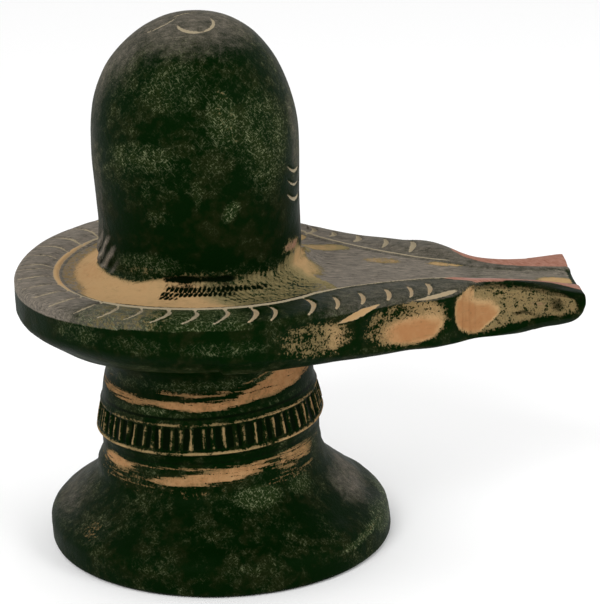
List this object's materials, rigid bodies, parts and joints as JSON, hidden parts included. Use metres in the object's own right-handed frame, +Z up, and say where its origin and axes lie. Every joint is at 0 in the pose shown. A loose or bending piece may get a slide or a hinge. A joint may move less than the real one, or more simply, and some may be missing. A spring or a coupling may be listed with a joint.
{
  "type": "terracotta shiva lingam",
  "caption": "Domed pillar standing in a drop-shaped dish with a drain spout, on a waisted round pedestal with a ribbed collar; hand-built baked clay with a worn dark slip.",
  "frame": {"origin": "on the flat foot, on the axis of the round base", "axes": "+Z up, +X along the drain spout, +Y to the left of the spout"},
  "size_m": [0.1741, 0.1171, 0.1653],
  "materials": {
    "slipped_clay": "satin near-black green slip over tan terracotta, rubbed through at the edges, panels and tool marks"
  },
  "bodies": {
    "root": {"lingam_sculpture": "slipped_clay"}
  },
  "joints": []
}
